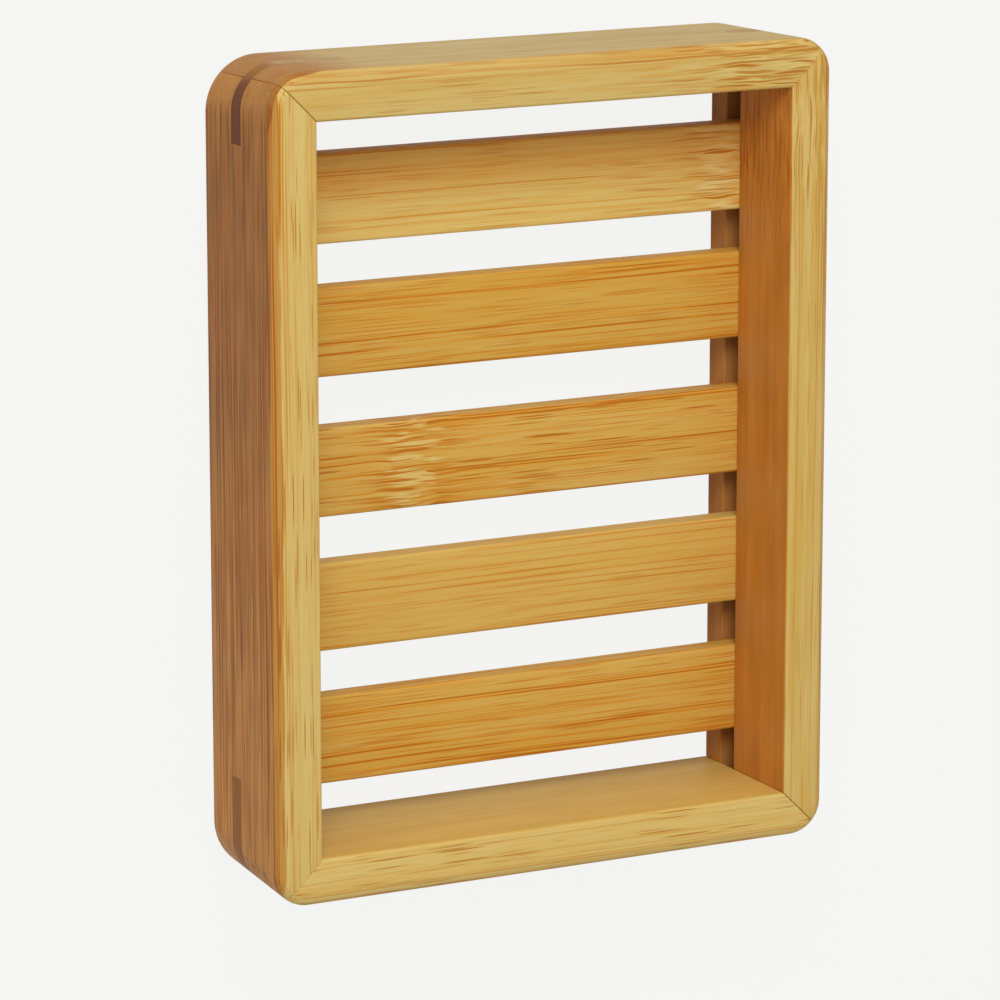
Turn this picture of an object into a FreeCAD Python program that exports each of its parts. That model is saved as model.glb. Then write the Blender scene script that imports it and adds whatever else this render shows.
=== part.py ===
import FreeCAD, Part
import math
import os

# Bamboo soap dish: four mitred rails, locked at the corners by flat keys, hold a row of slats.
# The dish lies flat with its well facing up. The origin is the middle of its underside, X runs
# along the dish, Y across it and Z up. Lengths are in millimetres.

# Frame of rails
dish_length = 120.0
dish_width = 90.0
rail_height = 24.0
rail_thickness = 7.0
upper_corner_radius = 5.0
lower_corner_radius = 8.2
outer_edge_round = 2.0
inner_edge_ease = 0.5

# Groove along the inner face of each long rail
groove_floor_height = 4.8
groove_depth = 3.0

# Slats, set by hand: each sits off its even place by a share of the gap between slats
slat_width = 13.0
slat_thickness = 4.0
slat_edge_ease = 0.5
slat_end_clearance = 0.25
slat_top_clearance = 0.15
slat_shift_shares = [0.025, -0.054, 0.05, 0.054, 0.063]

# Corner keys, each glued into a saw cut at about half the rail's height. The cuts were made a little
# askew, so each key reaches further along the rail that ends at its corner than along the one that
# starts there. One cut sits low, by a share of the key's thickness.
key_thickness = 3.2
key_inner_wall = 0.45
key_skew_degrees = 34.2
key_lift_shares = {"front_left": 0.0, "front_right": -0.7, "rear_right": 0.0, "rear_left": 0.0}

# How far cutting shapes reach past what they cut, and how near two places are to count as one
cut_overrun = 5.0
place_tolerance = 0.001

# Sizes that follow from those above
half_length = dish_length / 2
half_width = dish_width / 2
well_length = dish_length - 2 * rail_thickness
well_width = dish_width - 2 * rail_thickness
groove_span = well_width + 2 * groove_depth
groove_height = slat_thickness + slat_top_clearance
slat_length = groove_span - 2 * slat_end_clearance
slat_count = len(slat_shift_shares)
slat_gap = (well_length - slat_count * slat_width) / (slat_count + 1)
slat_pitch = slat_width + slat_gap
key_skew = math.radians(key_skew_degrees)
key_depth = rail_thickness * (math.sin(key_skew) + math.cos(key_skew)) - key_inner_wall

# Which way each corner lies from the middle, and the two corners that each rail joins
corner_signs = {"front_left": (-1, -1), "front_right": (1, -1), "rear_right": (1, 1), "rear_left": (-1, 1)}
rail_corners = {
    "front_long_rail": ("front_left", "front_right"),
    "right_end_rail": ("front_right", "rear_right"),
    "rear_long_rail": ("rear_right", "rear_left"),
    "left_end_rail": ("rear_left", "front_left"),
}
grooved_rails = ("front_long_rail", "rear_long_rail")


def corner_point(corner, inset, height):
    """A point on a corner's mitre, as far in from both outer faces as the inset says."""
    sign_x, sign_y = corner_signs[corner]
    return FreeCAD.Vector(sign_x * (half_length - inset), sign_y * (half_width - inset), height)


def prism(points, height):
    """An upright solid over a flat outline."""
    outline = Part.makePolygon(points + points[:1])
    return Part.Face(outline).extrude(FreeCAD.Vector(0, 0, height))


def centred_box(length, width, height, middle_x, base_height):
    """A box that is centred across the dish."""
    lowest = FreeCAD.Vector(middle_x - length / 2, -width / 2, base_height)
    return Part.makeBox(length, width, height, lowest)


def edges_along(shape, axis):
    """The straight edges of a shape that run along an axis."""
    chosen = []
    for edge in shape.Edges:
        run = edge.Vertexes[-1].Point - edge.Vertexes[0].Point
        if run.cross(axis).Length < place_tolerance:
            chosen.append(edge)
    return chosen


def edges_centred_at(shape, points):
    """The edges of a shape whose middles lie at the given points."""
    chosen = []
    for edge in shape.Edges:
        if any(edge.CenterOfMass.isEqual(point, place_tolerance) for point in points):
            chosen.append(edge)
    return chosen


def rounded_block():
    """The outside of the frame: upright corners rounded, more so lower down, then both rims rounded over."""
    block = centred_box(dish_length, dish_width, rail_height, 0, 0)
    uprights = edges_along(block, FreeCAD.Vector(0, 0, 1))
    block = block.makeFillet(lower_corner_radius, upper_corner_radius, uprights)
    rims = [edge for edge in block.Edges if edge.BoundBox.ZLength < place_tolerance]
    return block.makeFillet(outer_edge_round, rims)


def mitred_rail(block, start, end):
    """One rail, mitred through the corners at its ends, with the rims of its inner face eased."""
    plan = [
        corner_point(start, rail_thickness, -cut_overrun),
        corner_point(end, rail_thickness, -cut_overrun),
        corner_point(end, -cut_overrun, -cut_overrun),
        corner_point(start, -cut_overrun, -cut_overrun),
    ]
    rail = block.common(prism(plan, rail_height + 2 * cut_overrun))
    rim_middles = []
    for height in (0, rail_height):
        ends = corner_point(start, rail_thickness, height) + corner_point(end, rail_thickness, height)
        rim_middles.append(ends / 2)
    return rail.makeFillet(inner_edge_ease, edges_centred_at(rail, rim_middles))


def slat_groove():
    """The space of both grooves, which run out through the mitres and stop at the end rails."""
    length = dish_length + 2 * cut_overrun
    return centred_box(length, groove_span, groove_height, 0, groove_floor_height)


def key_blank(corner):
    """The three-sided plate that fills a corner's saw cut, before it is trimmed to the frame."""
    sign_x, sign_y = corner_signs[corner]
    middle_height = rail_height / 2 + key_lift_shares[corner] * key_thickness
    tip = corner_point(corner, -cut_overrun, middle_height - key_thickness / 2)
    reach = key_depth + cut_overrun * (math.sin(key_skew) + math.cos(key_skew))
    far_leg, near_leg = reach / math.sin(key_skew), reach / math.cos(key_skew)
    along_x, along_y = (near_leg, far_leg) if sign_x == sign_y else (far_leg, near_leg)
    leg_x = tip - FreeCAD.Vector(sign_x * along_x, 0, 0)
    leg_y = tip - FreeCAD.Vector(0, sign_y * along_y, 0)
    return prism([tip, leg_x, leg_y], key_thickness)


def slat(index):
    """One slat, eased along its four long edges, with its ends in both grooves."""
    even_place = (index - (slat_count - 1) / 2) * slat_pitch
    middle_x = even_place + slat_shift_shares[index] * slat_gap
    board = centred_box(slat_width, slat_length, slat_thickness, middle_x, groove_floor_height)
    return board.makeFillet(slat_edge_ease, edges_along(board, FreeCAD.Vector(0, 1, 0)))


def build_pieces():
    """Every piece of the dish, by name."""
    pieces = {}
    block = rounded_block()
    groove = slat_groove()
    blanks = {corner: key_blank(corner) for corner in corner_signs}
    for name, (start, end) in rail_corners.items():
        rail = mitred_rail(block, start, end)
        if name in grooved_rails:
            rail = rail.cut(groove)
        pieces[name] = rail.cut(blanks[start]).cut(blanks[end])
    for corner, blank in blanks.items():
        pieces[corner + "_corner_key"] = block.common(blank)
    for index in range(slat_count):
        pieces["slat_" + str(index + 1)] = slat(index)
    return pieces


os.makedirs("parts", exist_ok=True)
for piece_name, shape in build_pieces().items():
    shape.exportStep("parts/" + piece_name + ".step")
    print(piece_name, "volume", round(shape.Volume, 2), "solids", len(shape.Solids), "valid", shape.isValid())
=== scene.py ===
"""Dresses a bamboo soap dish: mitred rails, corner keys and slats in oiled bamboo, on a plain stage."""
import math

import bmesh
import bpy
from mathutils import Matrix, Vector


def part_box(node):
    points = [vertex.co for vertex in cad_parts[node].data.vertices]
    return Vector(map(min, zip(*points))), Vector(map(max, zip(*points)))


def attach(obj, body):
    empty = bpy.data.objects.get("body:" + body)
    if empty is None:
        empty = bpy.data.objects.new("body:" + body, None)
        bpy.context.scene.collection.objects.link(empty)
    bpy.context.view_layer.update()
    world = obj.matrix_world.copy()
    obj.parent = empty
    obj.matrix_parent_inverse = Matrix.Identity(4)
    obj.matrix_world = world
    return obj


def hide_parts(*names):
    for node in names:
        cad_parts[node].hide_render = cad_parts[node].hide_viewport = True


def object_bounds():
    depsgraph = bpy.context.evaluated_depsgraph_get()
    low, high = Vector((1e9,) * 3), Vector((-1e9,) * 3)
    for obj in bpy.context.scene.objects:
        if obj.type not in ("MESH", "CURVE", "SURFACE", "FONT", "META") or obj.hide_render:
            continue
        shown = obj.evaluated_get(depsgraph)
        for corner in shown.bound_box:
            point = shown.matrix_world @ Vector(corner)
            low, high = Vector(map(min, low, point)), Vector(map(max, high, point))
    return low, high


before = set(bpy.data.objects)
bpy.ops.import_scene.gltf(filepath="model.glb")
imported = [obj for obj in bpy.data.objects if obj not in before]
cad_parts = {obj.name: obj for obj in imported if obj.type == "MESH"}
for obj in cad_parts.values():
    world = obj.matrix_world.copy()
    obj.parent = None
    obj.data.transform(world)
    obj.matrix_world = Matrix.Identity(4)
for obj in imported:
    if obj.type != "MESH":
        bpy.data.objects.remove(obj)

bl_info = {
    "name": "Bamboo soap dish",
    "version": (1, 0, 0),
    "blender": (4, 5, 0),
    "location": "View3D > Sidebar > Soap dish",
    "description": "Builds a slatted bamboo soap dish around its measured frame",
    "category": "Object",
}

# The dish as measured, in metres
CAD_LOW, CAD_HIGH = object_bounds()
HALF_LENGTH = CAD_HIGH.x
HALF_WIDTH = CAD_HIGH.y
RAIL_HEIGHT = CAD_HIGH.z
RAIL_LOW, RAIL_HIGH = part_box("front_long_rail")
RAIL_THICKNESS = RAIL_HIGH.y - RAIL_LOW.y
SLAT_LOW, SLAT_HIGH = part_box("slat_1")
SLAT_SIZE = SLAT_HIGH - SLAT_LOW
MILLIMETRE = 0.001
BODY = "root"

# Each rail runs from one corner to the next, anticlockwise seen from above: its run and its two corners
UP = Vector((0, 0, 1))
RAILS = {
    "front_long_rail": (Vector((1, 0, 0)), "front_left", "front_right"),
    "right_end_rail": (Vector((0, 1, 0)), "front_right", "rear_right"),
    "rear_long_rail": (Vector((-1, 0, 0)), "rear_right", "rear_left"),
    "left_end_rail": (Vector((0, -1, 0)), "rear_left", "front_left"),
}
GROOVED_RAILS = ("front_long_rail", "rear_long_rail")
CORNERS = {"front_left": (-1, -1), "front_right": (1, -1), "rear_right": (1, 1), "rear_left": (-1, 1)}
OPEN_CORNERS = ("front_left", "rear_right")
SLATS = ("slat_1", "slat_2", "slat_3", "slat_4", "slat_5")
DEPTH_LAYER = "ply_depth"

# How finely curved surfaces are cut, and how far before a rail's bend the fine cuts start
ROUND_STEPS = 10
EASE_STEPS = 5
CORNER_STEPS = 18
CORNER_PAD = 2 * MILLIMETRE
SMOOTH_ANGLE = math.radians(28)

# How near two places are to count as one, and how far past its radius a key's point counts as rounded
LEVEL_TOLERANCE = 0.0000001
MERGE_DISTANCE = 0.000001
ROUNDED_MARGIN = 1.01

# The stage, in metres
FLOOR_HALF = 3.0
LAMP_DISTANCE = 0.9
LAMP_WAY = Vector((-0.85, -0.4, 1.0))
CAMERA_AIM = Vector((0.00633, -0.00348, 0.012))
PICTURE_UP = Vector((-1, 0, 0))


def length_property(label, description, default):
    """A length that a user may change, in metres."""
    return bpy.props.FloatProperty(
        name=label, description=description, default=default, min=0.0, unit="LENGTH", precision=5)


def colour_property(label, description, default):
    """A colour that a user may change, in scene linear values."""
    return bpy.props.FloatVectorProperty(
        name=label, description=description, default=default, size=3, min=0.0, max=1.0, subtype="COLOR")


def share_property(label, description, default):
    """A plain share that a user may change."""
    return bpy.props.FloatProperty(
        name=label, description=description, default=default, min=0.0, max=1.0, subtype="FACTOR")


class RailSettings(bpy.types.PropertyGroup):
    """Sizes of the mitred rails."""

    upper_radius: length_property("Upper corner radius", "Rounding of the upright corners at the top", 0.005)
    lower_radius: length_property("Lower corner radius", "The same rounding at the floor", 0.0082)
    edge_round: length_property("Edge round", "Round-over of the outer rims", 0.002)
    inner_ease: length_property("Inner ease", "Easing of the inner rims", 0.0005)
    groove_end_gap: length_property("Groove end gap", "Space past each slat's end", 0.00025)
    groove_top_gap: length_property("Groove top gap", "Space over each slat in its groove", 0.00015)
    open_seam: length_property("Open seam", "Half width of a mitre that has opened a little", 0.00011)
    tight_seam: length_property("Tight seam", "Half width of a mitre that has stayed shut", 0.00004)


class SlatSettings(bpy.types.PropertyGroup):
    """Sizes of the slats."""

    edge_ease: length_property("Edge ease", "Easing of the slats' long edges", 0.0005)


class BambooSettings(bpy.types.PropertyGroup):
    """Colours and finish of the bamboo."""

    straw: colour_property("Straw", "Pale rail bamboo", (0.65, 0.48, 0.16))
    honey: colour_property("Honey", "Warmer rail bamboo", (0.61, 0.4, 0.092))
    amber: colour_property("Amber", "Glow beside the rails' fibre bundles", (0.61, 0.31, 0.05))
    line: colour_property("Line", "Fibre bundles of the rails", (0.45, 0.18, 0.018))
    pith: colour_property("Pith", "Pale pith in the joints", (0.72, 0.53, 0.17))
    slat_straw: colour_property("Slat straw", "Pale slat bamboo", (0.65, 0.42, 0.1))
    slat_honey: colour_property("Slat honey", "Warmer slat bamboo", (0.62, 0.335, 0.042))
    slat_amber: colour_property("Slat amber", "Glow beside the slats' fibre bundles", (0.64, 0.265, 0.02))
    slat_line: colour_property("Slat line", "Fibre bundles of the slats", (0.48, 0.15, 0.007))
    # Slat pale and slat blush colour the first slat's two halves; the warmer half toward the left end rail is
    # partly warmer grain and partly painted shade of that rail
    slat_pale: colour_property("Slat pale", "Paler half of the first slat", (0.66, 0.48, 0.145))
    slat_shaded_blush: colour_property("Slat blush", "Warmer half of the first slat", (0.65, 0.375, 0.088))
    # Slat side: painted light; the slats' sides are coloured paler than their tops, standing in for the light
    # that falls on them
    slat_lit_side: colour_property("Slat side", "Pale sawn sides of the slats", (0.72, 0.5, 0.14))
    ply_strip: colour_property("Ply strip", "Tan strip under the rails' outer skin", (0.47, 0.206, 0.032))
    ply_line: colour_property("Ply line", "Warm line at the end of that strip", (0.47, 0.18, 0.02))
    skin_edge: colour_property("Skin edge", "Dark edge of the rails' outer ply", (0.24, 0.085, 0.02))
    # Corner: the brown round the front left corner is partly browner skin and partly painted shade
    corner: colour_property("Corner", "Outside of the sanded corners", (0.4, 0.185, 0.04))
    # Sawn: the groove's inside, the tawny inner bamboo darkened further as painted shade
    sawn: colour_property("Sawn", "Scorched sides of the saw-cut grooves", (0.40, 0.17, 0.045))
    key_brown: colour_property("Key brown", "End grain of the keys at the left end", (0.148, 0.037, 0.005))
    key_tan: colour_property("Key tan", "End grain of the keys at the right end", (0.295, 0.115, 0.018))
    key_slant: colour_property("Key slant", "The keys where they round the corners", (0.3, 0.118, 0.012))
    # Key side: painted sheen; the keys' faces toward the dish's ends take this paler colour in place of the
    # grazing reflection on them
    key_sheen: colour_property("Key side", "Side grain of the corner keys", (0.43, 0.27, 0.1))
    roughness: share_property("Roughness", "How dull the oiled surface is", 0.55)


class StageSettings(bpy.types.PropertyGroup):
    """Floor, light and camera."""

    backdrop: colour_property("Backdrop", "Pale floor and surround", (0.922, 0.922, 0.905))
    floor_bounce: share_property("Floor bounce", "How much light the floor throws back", 0.8)
    shadow_share: share_property("Shadow share", "How strongly the floor shows the dish's shadow", 0.045)
    sky_strength: share_property("Sky strength", "Even light from all round", 0.58)
    lamp_power: bpy.props.FloatProperty(
        name="Lamp power", description="Main soft lamp", default=4.65, min=0.0, unit="POWER")
    lamp_size: length_property("Lamp size", "Side of the main lamp", 0.4)
    camera_turn: bpy.props.FloatProperty(
        name="Camera turn", description="Way round the dish, from the front", default=math.radians(-25.93),
        subtype="ANGLE")
    camera_rise: bpy.props.FloatProperty(
        name="Camera rise", description="Angle above the floor", default=math.radians(60.26), subtype="ANGLE")
    camera_distance: length_property("Camera distance", "From the lens to the aim point", 0.7542)
    camera_lens: bpy.props.FloatProperty(
        name="Camera lens", description="Focal length", default=186.25, min=1.0, unit="CAMERA")


class DishSettings(bpy.types.PropertyGroup):
    """All settings of the soap dish."""

    rails: bpy.props.PointerProperty(type=RailSettings)
    slats: bpy.props.PointerProperty(type=SlatSettings)
    bamboo: bpy.props.PointerProperty(type=BambooSettings)
    stage: bpy.props.PointerProperty(type=StageSettings)


class NodeBench:
    """Adds nodes to one tree and joins them, taking sockets or plain values alike."""

    def __init__(self, tree):
        self.tree = tree

    def add(self, kind, feeds=None, **settings):
        """A new node with its settings made, then its inputs fed by label."""
        node = self.tree.nodes.new(kind)
        for name, value in settings.items():
            setattr(node, name, value)
        for label, source in (feeds or {}).items():
            self.feed(node.inputs[label], source)
        return node

    def feed(self, socket, source):
        """Joins a socket to its source, or gives it a plain value. A plain colour covers in full."""
        if isinstance(source, bpy.types.NodeSocket):
            self.tree.links.new(source, socket)
        elif socket.type == "RGBA":
            socket.default_value = (*source, 1.0)
        else:
            socket.default_value = source

    def outcome(self, node, sources):
        """The first output of a node whose inputs are fed in order."""
        for socket, source in zip(node.inputs, sources):
            self.feed(socket, source)
        return node.outputs[0]

    def made(self, kind, feeds=None, **settings):
        """The first output of a new node."""
        return self.add(kind, feeds, **settings).outputs[0]

    def sum_up(self, operation, *numbers):
        """A number worked out from others."""
        return self.outcome(self.add("ShaderNodeMath", operation=operation), numbers)

    def chain(self, operation, first, *others):
        """Numbers joined one after another in the same way."""
        for other in others:
            first = self.sum_up(operation, first, other)
        return first

    def times(self, *numbers):
        """The product of numbers."""
        return self.chain("MULTIPLY", *numbers)

    def most(self, *numbers):
        """The greatest of numbers."""
        return self.chain("MAXIMUM", *numbers)

    def size_of(self, number):
        """A number without its sign."""
        return self.sum_up("ABSOLUTE", number)

    def vector_sum(self, operation, *vectors):
        """A vector worked out from others."""
        return self.outcome(self.add("ShaderNodeVectorMath", operation=operation), vectors)

    def parts(self, vector):
        """The three numbers of a vector or colour."""
        return self.add("ShaderNodeSeparateXYZ", {"Vector": vector}).outputs

    def whole(self, x, y, z):
        """A vector or colour of three numbers."""
        return self.outcome(self.add("ShaderNodeCombineXYZ"), (x, y, z))

    def evenly(self, value):
        """A vector or grey of one number."""
        return self.whole(value, value, value)

    def fade(self, value, start, stop, low=0.0, high=1.0):
        """A soft step from low to high, while a value goes from start to stop."""
        return self.made("ShaderNodeMapRange", {
            "Value": value, "From Min": start, "From Max": stop, "To Min": low, "To Max": high,
        }, interpolation_type="SMOOTHSTEP")

    def between(self, share, low, high):
        """A soft blend of two numbers."""
        return self.fade(share, 0.0, 1.0, low, high)

    def mix(self, share, under, over, how="MIX"):
        """One colour laid over another."""
        node = self.add("ShaderNodeMix", data_type="RGBA", blend_type=how)
        colours = [socket for socket in node.inputs if socket.type == "RGBA"]
        for socket, source in zip((node.inputs[0], *colours), (share, under, over)):
            self.feed(socket, source)
        return next(socket for socket in node.outputs if socket.type == "RGBA")

    def tinted(self, colour, tint):
        """A colour multiplied by another."""
        return self.mix(1.0, colour, tint, "MULTIPLY")

    def in_cells(self, place, cell):
        """A place counted in cells of a size."""
        return self.vector_sum("MULTIPLY", place, [1 / size for size in cell])

    def noise(self, place, cell, detail=1.0, harshness=0.5):
        """A value that changes softly from cell to cell."""
        return self.made("ShaderNodeTexNoise", {
            "Vector": self.in_cells(place, cell), "Scale": 1.0, "Detail": detail, "Roughness": harshness})

    def patches(self, place, cell, shown, low=0.0, high=1.0, detail=1.0):
        """A value that goes from low to high where the noise goes through a range."""
        return self.fade(self.noise(place, cell, detail), *shown, low, high)

    def swing(self, place, cell, reach):
        """A move to both sides that changes from cell to cell, as wide in all as the reach."""
        return self.sum_up("MULTIPLY_ADD", self.noise(place, cell), reach, -reach / 2)

    def turned_place(self, place, turn=0.0, shift=(0.0, 0.0, 0.0)):
        """A place in metres turned about the upright and moved, in millimetres."""
        turned = self.made("ShaderNodeMapping", {
            "Vector": place, "Location": shift, "Rotation": (0.0, 0.0, turn)}, vector_type="POINT")
        return self.in_cells(turned, [MILLIMETRE] * 3)


def new_tree(kind, name, inputs, outputs):
    """An empty node tree with its sockets by label and kind, its bench and what it is given."""
    tree = bpy.data.node_groups.new(name, kind)
    for way, sockets in (("INPUT", inputs), ("OUTPUT", outputs)):
        for label, socket_kind in sockets.items():
            tree.interface.new_socket(label, in_out=way, socket_type="NodeSocket" + socket_kind)
    bench = NodeBench(tree)
    return tree, bench, bench.add("NodeGroupInput").outputs


def ratio(over, under):
    """The tint that turns one colour into another."""
    return [wanted / given for wanted, given in zip(over, under)]


GRAIN_COLOURS = ("Straw", "Honey", "Amber", "Line", "Pith")
GRAIN_SHARES = (
    "Honey Base", "Honey Share", "Line Share", "Dash Share", "Joint Place", "Joint Reach", "Joint Share")

# Sizes of the grain, in millimetres along the fibres, across them and into the wood
FIBRE_CELL = (12.0, 0.17, 0.17)
BUNDLE_CELL = 0.52
OTHER_WOOD = (0.0, 37.3, 21.7)
FINE_DETAIL = 2.0
FIBRE_HARSHNESS = 0.6

# How the fibres and a joint's edge wander: the size of a cell, and how far
SWAY = ((80.0, 14.0, 14.0), 1.4)
DIP = ((48.0, 5.0, 5.0), 1.0)
CURL = ((7.0, 2.2, 2.2), 1.1)
JOINT_EDGE = ((200.0, 0.9, 0.9), 2.0)

# Features in patches: the size of a cell, and the values where they start to show and show in full
TONE = ((60.0, 2.4, 2.4), (0.36, 0.64))
BUNDLE_PATCH = ((70.0, 0.9, 0.9), (0.32, 0.46))
HAIR = ((30.0, 0.23, 0.23), (0.52, 0.2))
DASH = ((12.0, 0.34, 0.34), (0.44, 0.24))
DASH_PATCH = ((16.0, 2.0, 2.0), (0.4, 0.54))
TATTER = ((9.0, 0.44, 0.44), (0.5, 0.3))
PITH = ((6.0, 1.1, 1.1), (0.46, 0.58))
STREAK = ((18.0, 0.7, 0.7), (0.5, 0.62))

# Where other features start to show and where they show in full
FIBRE_RANGE = (0.44, 0.74)
BUNDLE_CORE = (0.14, 0.06)
BUNDLE_GLOW = (0.3, 0.08)
BUNDLE_STRENGTH = (0.2, 0.85)
SHORT_LINE_STRENGTH = (0.0, 0.75)

# The same round a joint, in shares of the joint's reach
BUNDLE_END = (-0.1, 0.1)
JOINT_CURL = (3.5, 0.8)
JOINT_PITH = (1.2, 0.6)
JOINT_TATTER = (2.2, 0.7)
STREAK_START = (0.0, 1.0)
STREAK_STOP = (6.0, 1.0)

# How strongly each feature shows, how dark a warm line is, and how far the fibres rise
FIBRE_SHARE = 0.4
GLOW_SHARE = 0.8
HAIR_SHARE = 0.6
WARM_SHARE = 0.5
PITH_SHARE = 0.7
STREAK_SHARE = 0.7
DARK_SHARE = 0.95
FIBRE_RISE = 0.5


def bundle_lines(bench, place, past_end, joint_share, shown_whole):
    """Dark cores and warm glows of long bundles. Each stops at its own place on its side of a joint."""
    _, across, deep = bench.parts(place)
    cells = bench.add("ShaderNodeTexVoronoi", {
        "Vector": bench.whole(across, deep, 0.0), "Scale": 1 / BUNDLE_CELL,
    }, voronoi_dimensions="2D", feature="F1").outputs
    near = bench.times(cells["Distance"], BUNDLE_CELL)
    strength, end, _ = bench.parts(cells["Color"])
    patch = bench.patches(place, *BUNDLE_PATCH)
    there = bench.fade(bench.sum_up("SUBTRACT", past_end, end), *BUNDLE_END)
    shown = bench.between(joint_share, shown_whole, there)
    strength = bench.times(bench.fade(strength, *BUNDLE_STRENGTH), patch, shown)
    core = bench.times(bench.fade(near, *BUNDLE_CORE), strength)
    glow = bench.times(bench.fade(near, *BUNDLE_GLOW), strength)
    return core, glow


def short_lines(bench, place, cell, shown_range):
    """Short lines along the fibres, tapered at both ends and each of its own strength."""
    cells = bench.add("ShaderNodeTexVoronoi", {
        "Vector": bench.in_cells(place, cell), "Scale": 1.0,
    }, voronoi_dimensions="3D", feature="F1").outputs
    strength = bench.fade(bench.parts(cells["Color"])[0], *SHORT_LINE_STRENGTH)
    return bench.times(bench.fade(cells["Distance"], *shown_range), strength)


def fibre_places(bench, place, by_joint):
    """Places before and after a joint, where fibres sway, rise and sink, and curl at the joint."""
    along, across, deep = bench.parts(place)
    curl = bench.times(bench.swing(place, *CURL), by_joint)
    across = bench.chain("ADD", across, bench.swing(place, *SWAY), curl)
    other_place = bench.vector_sum("ADD", place, OTHER_WOOD)
    deep = bench.sum_up("ADD", deep, bench.swing(other_place, *DIP))
    before_place = bench.whole(along, across, deep)
    return before_place, bench.vector_sum("ADD", before_place, OTHER_WOOD), other_place


def grain_group():
    """Bamboo seen close: fine fibres, long dark bundles, short dashes and the broken band of a culm joint.

    Place is in millimetres, with X along the fibres."""
    name = "bamboo grain"
    if name in bpy.data.node_groups:
        return bpy.data.node_groups[name]
    inputs = {"Place": "Vector", **dict.fromkeys(GRAIN_COLOURS, "Color")}
    inputs.update(dict.fromkeys(GRAIN_SHARES, "Float"))
    tree, bench, given = new_tree("ShaderNodeTree", name, inputs, {"Colour": "Color", "Height": "Float"})
    joint_share = given["Joint Share"]
    line_share = given["Line Share"]
    from_joint = bench.sum_up("SUBTRACT", bench.parts(given["Place"])[0], given["Joint Place"])
    from_joint = bench.sum_up("DIVIDE", from_joint, given["Joint Reach"])
    by_joint = bench.times(bench.fade(bench.size_of(from_joint), *JOINT_CURL), joint_share)
    before_place, after_place, other_place = fibre_places(bench, given["Place"], by_joint)

    # Long bundles on both sides of the joint
    before_joint = bench.times(from_joint, -1.0)
    first_core, first_glow = bundle_lines(bench, before_place, before_joint, joint_share, 1.0)
    last_core, last_glow = bundle_lines(bench, after_place, from_joint, joint_share, 0.0)
    core = bench.times(bench.most(first_core, last_core), line_share)
    glow = bench.times(bench.most(first_glow, last_glow), line_share)

    # Broad tone, fine fibres and hair lines
    honey = bench.patches(before_place, *TONE, detail=FINE_DETAIL)
    honey = bench.sum_up("MULTIPLY_ADD", honey, given["Honey Share"], given["Honey Base"])
    colour = bench.mix(honey, given["Straw"], given["Honey"])
    fibre = bench.noise(before_place, FIBRE_CELL, FINE_DETAIL, FIBRE_HARSHNESS)
    colour = bench.mix(bench.fade(fibre, *FIBRE_RANGE, 0.0, FIBRE_SHARE), colour, given["Amber"])
    colour = bench.mix(bench.times(glow, GLOW_SHARE), colour, given["Amber"])
    hair_share = bench.times(line_share, bench.between(by_joint, HAIR_SHARE, 1.0))
    hair = bench.times(short_lines(bench, after_place, *HAIR), hair_share)
    warm_line = bench.mix(WARM_SHARE, given["Amber"], given["Line"])
    colour = bench.mix(hair, colour, warm_line)

    # In the joint: pale pith, and warm streaks that run on past it
    from_ragged = bench.size_of(bench.sum_up("ADD", from_joint, bench.swing(before_place, *JOINT_EDGE)))
    pith = bench.times(bench.patches(after_place, *PITH), bench.fade(from_ragged, *JOINT_PITH))
    pith = bench.times(pith, joint_share, PITH_SHARE)
    colour = bench.mix(pith, colour, given["Pith"])
    streak = bench.patches(after_place, *STREAK)
    past = bench.times(bench.fade(from_joint, *STREAK_START), bench.fade(from_joint, *STREAK_STOP))
    colour = bench.mix(bench.times(streak, past, joint_share, STREAK_SHARE), colour, given["Amber"])

    # Dashes lie in patches, and a joint is full of thick short ones
    patch = bench.times(bench.patches(other_place, *DASH_PATCH), given["Dash Share"])
    dash = bench.times(short_lines(bench, before_place, *DASH), bench.most(patch, by_joint))
    tatter = bench.times(short_lines(bench, before_place, *TATTER), joint_share)
    tatter = bench.times(tatter, bench.fade(from_ragged, *JOINT_TATTER))
    colour = bench.mix(tatter, colour, warm_line)
    dark = bench.most(core, dash, bench.times(tatter, tatter))
    colour = bench.mix(bench.times(dark, DARK_SHARE), colour, given["Line"])
    height = bench.sum_up("SUBTRACT", bench.times(fibre, FIBRE_RISE), dark)
    bench.add("NodeGroupOutput", {"Colour": colour, "Height": height})
    return tree


def feed_grain(bench, grain_place, colours, shares):
    """The bamboo grain's colour and height, from its place, its colours in order and its shares by label."""
    feeds = {"Place": grain_place, **dict(zip(GRAIN_COLOURS, colours)), **shares}
    grain = bench.add("ShaderNodeGroup", feeds, node_tree=grain_group())
    return grain.outputs["Colour"], grain.outputs["Height"]


# The oiled finish: how much the fibres stand out, by how many metres, and how much the oil shines
BUMP_STRENGTH = 0.3
BUMP_HEIGHT = 0.00006
OIL_SHINE = 0.15


def new_material(name):
    """A material with one shader, and the bench to build it on."""
    material = bpy.data.materials.new(name)
    material.use_nodes = True
    return material, NodeBench(material.node_tree), material.node_tree.nodes["Principled BSDF"]


def oiled_finish(bench, shader, colour, height):
    """Satin oil over coloured bamboo with faintly raised fibres."""
    bump = bench.made("ShaderNodeBump", {
        "Strength": BUMP_STRENGTH, "Distance": BUMP_HEIGHT, "Height": height})
    bench.feed(shader.inputs["Base Color"], colour)
    bench.feed(shader.inputs["Normal"], bump)
    bench.feed(shader.inputs["Roughness"], bpy.context.scene.soap_dish.bamboo.roughness)
    bench.feed(shader.inputs["Specular IOR Level"], OIL_SHINE)


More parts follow.
